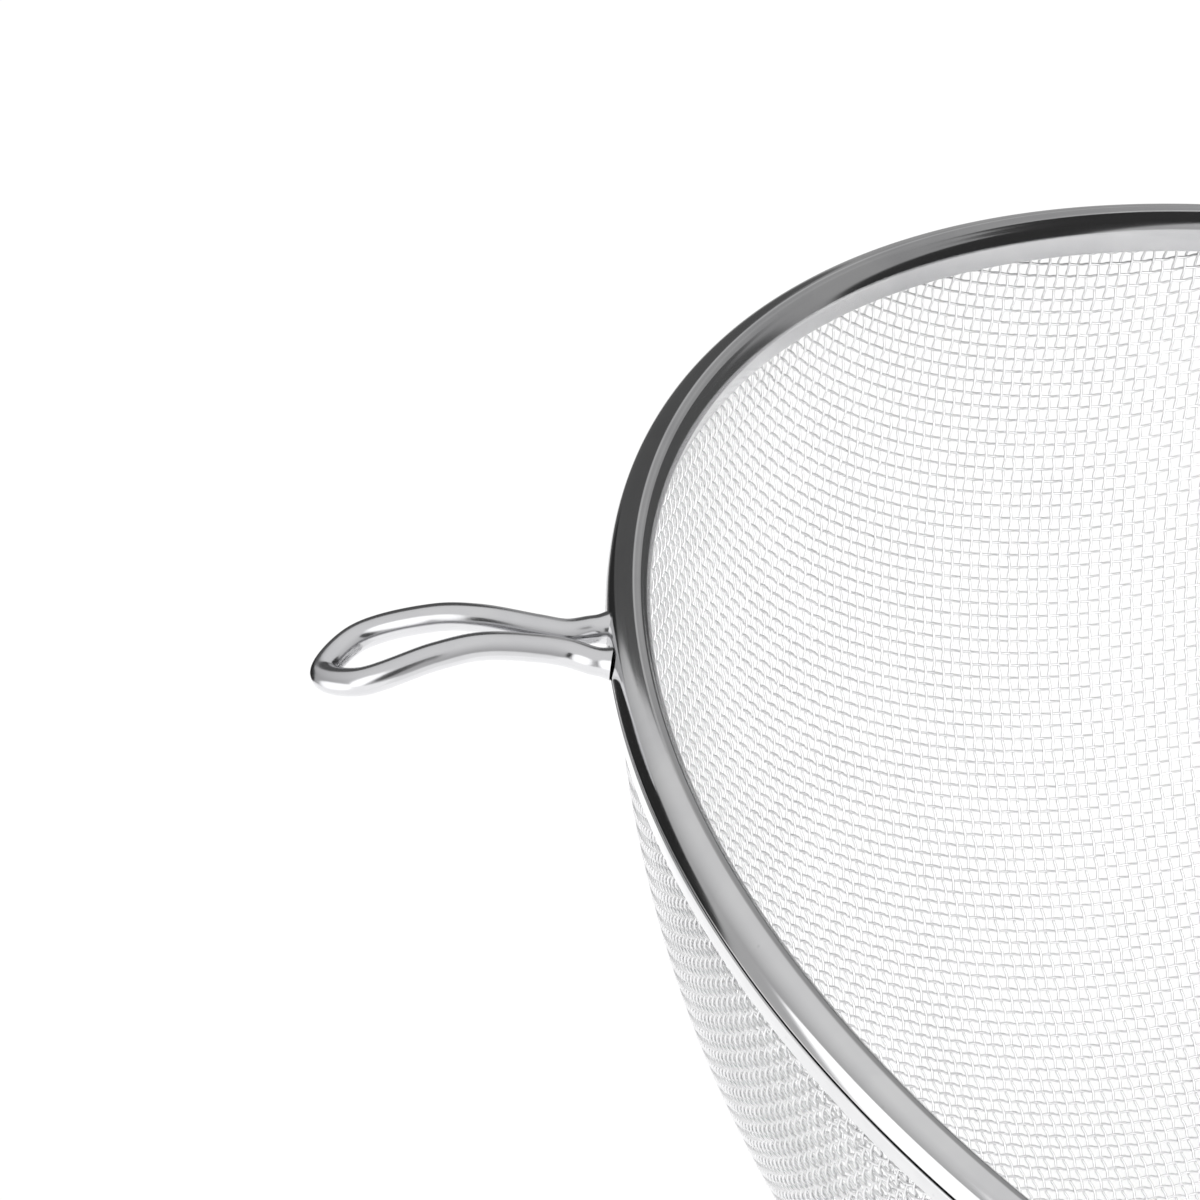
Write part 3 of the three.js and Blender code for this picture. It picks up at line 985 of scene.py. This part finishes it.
def eye_plate():
    """The hanging eye: a rounded plate with a hole and a tang, its edges softened."""
    tang = eye_tang_width / 2
    outline = [p for p in rounded(eye_start, eye_end, eye_width, eye_corner)
               if not (p[0] < eye_start + eye_corner and abs(p[1]) < tang)]
    cut = next(k for k in range(len(outline)) if outline[k][1] > 0 > outline[k + 1][1])
    reach = eye_start + eye_corner - math.sqrt(eye_corner ** 2 - (tang - eye_width / 2 + eye_corner) ** 2)
    back = eye_start - seat_gap - eye_tang_depth
    outline[cut + 1:cut + 1] = [(reach, tang), (back, tang), (back, -tang), (reach, -tang)]
    hole_start = eye_start + eye_base
    hole = rounded(hole_start, hole_start + eye_hole_length, eye_hole_width, eye_hole_corner)
    curve = bpy.data.curves.new("hanging_eye_outline", "CURVE")
    curve.dimensions = "2D"
    curve.fill_mode = "BOTH"
    curve.extrude = eye_thickness / 2 - eye_edge
    curve.bevel_depth = eye_edge
    curve.bevel_resolution = 3
    curve.offset = -eye_edge
    for line in (outline, hole[::-1]):
        spline = curve.splines.new("POLY")
        spline.points.add(len(line) - 1)
        spline.points.foreach_set("co", [c for x, y in line for c in (x, y, 0, 1)])
        spline.use_cyclic_u = True
    holder = bpy.data.objects.new("hanging_eye_outline", curve)
    bpy.context.scene.collection.objects.link(holder)
    evaluated = holder.evaluated_get(bpy.context.evaluated_depsgraph_get())
    mesh = bpy.data.meshes.new_from_object(evaluated)
    bpy.data.objects.remove(holder)
    count = len(mesh.vertices)
    points = np.empty(count * 3)
    mesh.vertices.foreach_get("co", points)
    points = points.reshape(-1, 3)
    by_size = {}
    for polygon in mesh.polygons:
        by_size.setdefault(len(polygon.vertices), []).append(tuple(polygon.vertices))
    faces = []
    for group in by_size.values():
        corners = np.array(group)
        faces.append((corners, points[corners][..., :2]))
    return points, faces


points, faces = eye_plate()
piece = put("hanging_eye_plate", points, faces, handle_to_model)
belongs(piece, "hanging_eye", fitting_steel)


# Stage: a white floor and a white room, dark and light cards that only reflections see, and soft lamps

card_squareness = 2.6
floor_glow = 0.82


def card_edge():
    """How much of a card shows: all in its middle, nothing past its soft edge."""
    group, given, result = new_group(
        "card_edge",
        [("Place", "NodeSocketVector", None), ("Softness", "NodeSocketFloat", 0.2)],
        [("Shown", "NodeSocketFloat")],
    )
    split = add(group, "ShaderNodeSeparateXYZ", {0: given.outputs["Place"]})
    powers = []
    for side in ("X", "Y"):
        size = add(group, "ShaderNodeMath", {0: split.outputs[side]}, operation="ABSOLUTE")
        powers.append(add(group, "ShaderNodeMath", {
            0: size.outputs[0], 1: card_squareness,
        }, operation="POWER"))
    total = add(group, "ShaderNodeMath", {
        0: powers[0].outputs[0], 1: powers[1].outputs[0],
    }, operation="ADD")
    reach = add(group, "ShaderNodeMath", {0: total.outputs[0], 1: 1 / card_squareness}, operation="POWER")
    inner = add(group, "ShaderNodeMath", {0: 1.0, 1: given.outputs["Softness"]}, operation="SUBTRACT")
    shown = add(group, "ShaderNodeMapRange", {
        "Value": reach.outputs[0], "From Min": inner.outputs[0],
        "From Max": 1.0, "To Min": 1.0, "To Max": 0.0,
    }, interpolation_type="SMOOTHSTEP")
    group.links.new(shown.outputs[0], result.inputs[0])
    return group


edge_group = card_edge()
room_middle = rim_to_model @ Vector((0, 0, 0))


def card(name, left, right, low, high, level, softness, lean, distance):
    """A card facing the sieve between two headings and two heights in degrees, leaning to one side, seen by
    reflections only."""
    heading, height = math.radians((left + right) / 2), math.radians((low + high) / 2)
    out = Vector((
        math.sin(heading) * math.cos(height),
        math.cos(heading) * math.cos(height),
        math.sin(height),
    ))
    mesh = bpy.data.meshes.new(name)
    mesh.from_pydata([(-1, -1, 0), (1, -1, 0), (1, 1, 0), (-1, 1, 0)], [], [(0, 1, 2, 3)])
    piece = bpy.data.objects.new(name, mesh)
    bpy.context.scene.collection.objects.link(piece)
    piece.location = room_middle + out * distance
    turn = out.to_track_quat("-Z", "Y") @ Quaternion((0, 0, 1), math.radians(lean))
    piece.rotation_euler = turn.to_euler()
    piece.scale = (
        distance * math.tan(math.radians((right - left) / 2)) * math.cos(height),
        distance * math.tan(math.radians((high - low) / 2)),
        1,
    )
    material = bpy.data.materials.new(name)
    material.use_nodes = True
    tree = material.node_tree
    tree.nodes.clear()
    place = add(tree, "ShaderNodeTexCoord")
    shown = add(tree, "ShaderNodeGroup", node_tree=edge_group)
    tree.links.new(place.outputs["Object"], shown.inputs["Place"])
    shown.inputs["Softness"].default_value = softness
    clear = add(tree, "ShaderNodeBsdfTransparent")
    glow = add(tree, "ShaderNodeEmission", {"Color": (level, level, level, 1), "Strength": 1.0})
    mix = add(tree, "ShaderNodeMixShader", {
        0: shown.outputs[0], 1: clear.outputs[0], 2: glow.outputs[0],
    })
    add(tree, "ShaderNodeOutputMaterial", {"Surface": mix.outputs[0]})
    mesh.materials.append(material)
    piece.visible_camera = False
    piece.visible_diffuse = False
    piece.visible_shadow = False
    piece.visible_transmission = False


# Each card: headings from and to, heights from and to, level, softness, lean and distance in metres
card("card_dark_ahead", -40, 3, -34, 42, 0.11, 0.06, -20, 5.0)
card("card_black_left", -63, -22, -36, 6, 0.03, 0.06, -8, 4.9)
card("card_white_left", -132, -78, -40, 6, 1.9, 0.12, -10, 5.0)
card("card_grey_right", -14, 86, -36, 37, 0.42, 0.15, 0, 5.4)
card("card_dark_above", -20, 16, 12, 43, 0.11, 0.06, 0, 5.05)
card("card_dusky_right", 12, 68, -34, 12, 0.11, 0.14, 14, 5.2)
card("card_light_crest", 11, 41, 11, 41, 0.6, 0.8, 0, 4.95)
card("card_black_right", 74, 112, -42, 36, 0.04, 0.12, 0, 5.1)
card("card_black_upper", 61, 112, 22, 50, 0.04, 0.12, 0, 5.08)
card("card_white_behind", 203, 244, -12, 52, 1.9, 0.12, 0, 5.3)
card("card_dark_behind", 177, 203, 0, 46, 0.04, 0.35, 0, 5.0)
card("card_table_right", 104, 176, -52, -3, 1.25, 0.2, 0, 5.5)
card("card_table_left", 166, 250, -52, -3, 1.45, 0.2, 0, 5.6)


def white_floor():
    """A white floor under the sieve that keeps its shadow."""
    mesh = bpy.data.meshes.new("floor")
    mesh.from_pydata([(-4, -4, 0), (4, -4, 0), (4, 4, 0), (-4, 4, 0)], [], [(0, 1, 2, 3)])
    floor = bpy.data.objects.new("floor", mesh)
    bpy.context.scene.collection.objects.link(floor)
    material = bpy.data.materials.new("floor_white")
    material.use_nodes = True
    tree = material.node_tree
    tree.nodes.clear()
    ray = add(tree, "ShaderNodeLightPath")
    seen = add(tree, "ShaderNodeMath", {
        0: ray.outputs["Is Camera Ray"], 1: ray.outputs["Is Transmission Ray"],
    }, operation="MAXIMUM")
    share = add(tree, "ShaderNodeMath", {0: seen.outputs[0], 1: floor_glow}, operation="MULTIPLY")
    matt = add(tree, "ShaderNodeBsdfDiffuse", {"Color": (0.9, 0.9, 0.9, 1)})
    glow = add(tree, "ShaderNodeEmission", {"Color": (1, 1, 1, 1), "Strength": 1.0})
    mix = add(tree, "ShaderNodeMixShader", {
        0: share.outputs[0], 1: matt.outputs[0], 2: glow.outputs[0],
    })
    add(tree, "ShaderNodeOutputMaterial", {"Surface": mix.outputs[0]})
    mesh.materials.append(material)
    floor.visible_glossy = False


white_floor()


def white_room():
    """The room round the stage: white overhead, greyer at the horizon, and a bright table below."""
    world = bpy.data.worlds.new("white_room")
    bpy.context.scene.world = world
    world.use_nodes = True
    tree = world.node_tree
    way = add(tree, "ShaderNodeTexCoord")
    split = add(tree, "ShaderNodeSeparateXYZ", {0: way.outputs["Generated"]})
    above = add(tree, "ShaderNodeMapRange", {
        "Value": split.outputs["Z"], "From Min": 0.05, "From Max": 0.9, "To Min": 0.6, "To Max": 0.98,
    })
    below = add(tree, "ShaderNodeMapRange", {
        "Value": split.outputs["Z"], "From Min": -0.48, "From Max": -0.62, "To Min": 0.0, "To Max": 0.85,
    }, interpolation_type="SMOOTHSTEP")
    level = add(tree, "ShaderNodeMath", {0: above.outputs[0], 1: below.outputs[0]}, operation="ADD")
    tree.links.new(level.outputs[0], tree.nodes["Background"].inputs["Color"])


white_room()


def soft_lamp(name, size, watts, place, only=None):
    """A round lamp aimed at the sieve: polished steel doesn't mirror it, or it lights some pieces only."""
    lamp = bpy.data.lights.new(name, "AREA")
    lamp.shape = "DISK"
    lamp.size = size
    lamp.energy = watts
    holder = bpy.data.objects.new(name, lamp)
    bpy.context.scene.collection.objects.link(holder)
    holder.location = room_middle + Vector(place)
    holder.rotation_euler = (-Vector(place)).to_track_quat("-Z", "Y").to_euler()
    if only is None:
        holder.visible_glossy = False
    else:
        holder.light_linking.receiver_collection = only


soft_lamp("soft_lamp", 0.9, 14.0, (-0.5, 0.3, 1.5))
soft_lamp("weave_lamp_above", 2.6, 48.0, (-0.1, -0.9, 2.4), weave_pieces)
soft_lamp("weave_lamp_right", 2.2, 52.0, (1.7, -2.2, 0.9), weave_pieces)
soft_lamp("weave_lamp_behind", 2.0, 20.0, (-0.2, 2.2, 1.9), weave_pieces)


# Camera: its place and its three directions in the rim's frame

camera_place = (-359.06, -827.86, 555.03)
camera_right = (0.94616, -0.06019, 0.31805)
camera_up = (-0.22495, 0.58424, 0.77978)
camera_back = (-0.23275, -0.80934, 0.53925)

picture = bpy.data.cameras.new("picture_camera")
picture.lens = 300
picture.sensor_width = 36
picture.clip_end = 20
camera = bpy.data.objects.new("picture_camera", picture)
bpy.context.scene.collection.objects.link(camera)
turn = rim_to_model.to_3x3() * 1000
right = turn @ Vector(camera_right)
up = turn @ Vector(camera_up)
back = turn @ Vector(camera_back)
place = rim_to_model @ Vector(camera_place)
camera.matrix_world = Matrix((
    (right.x, up.x, back.x, place.x),
    (right.y, up.y, back.y, place.y),
    (right.z, up.z, back.z, place.z),
    (0, 0, 0, 1),
))
bpy.context.scene.camera = camera
bpy.context.scene.view_settings.view_transform = "Standard"
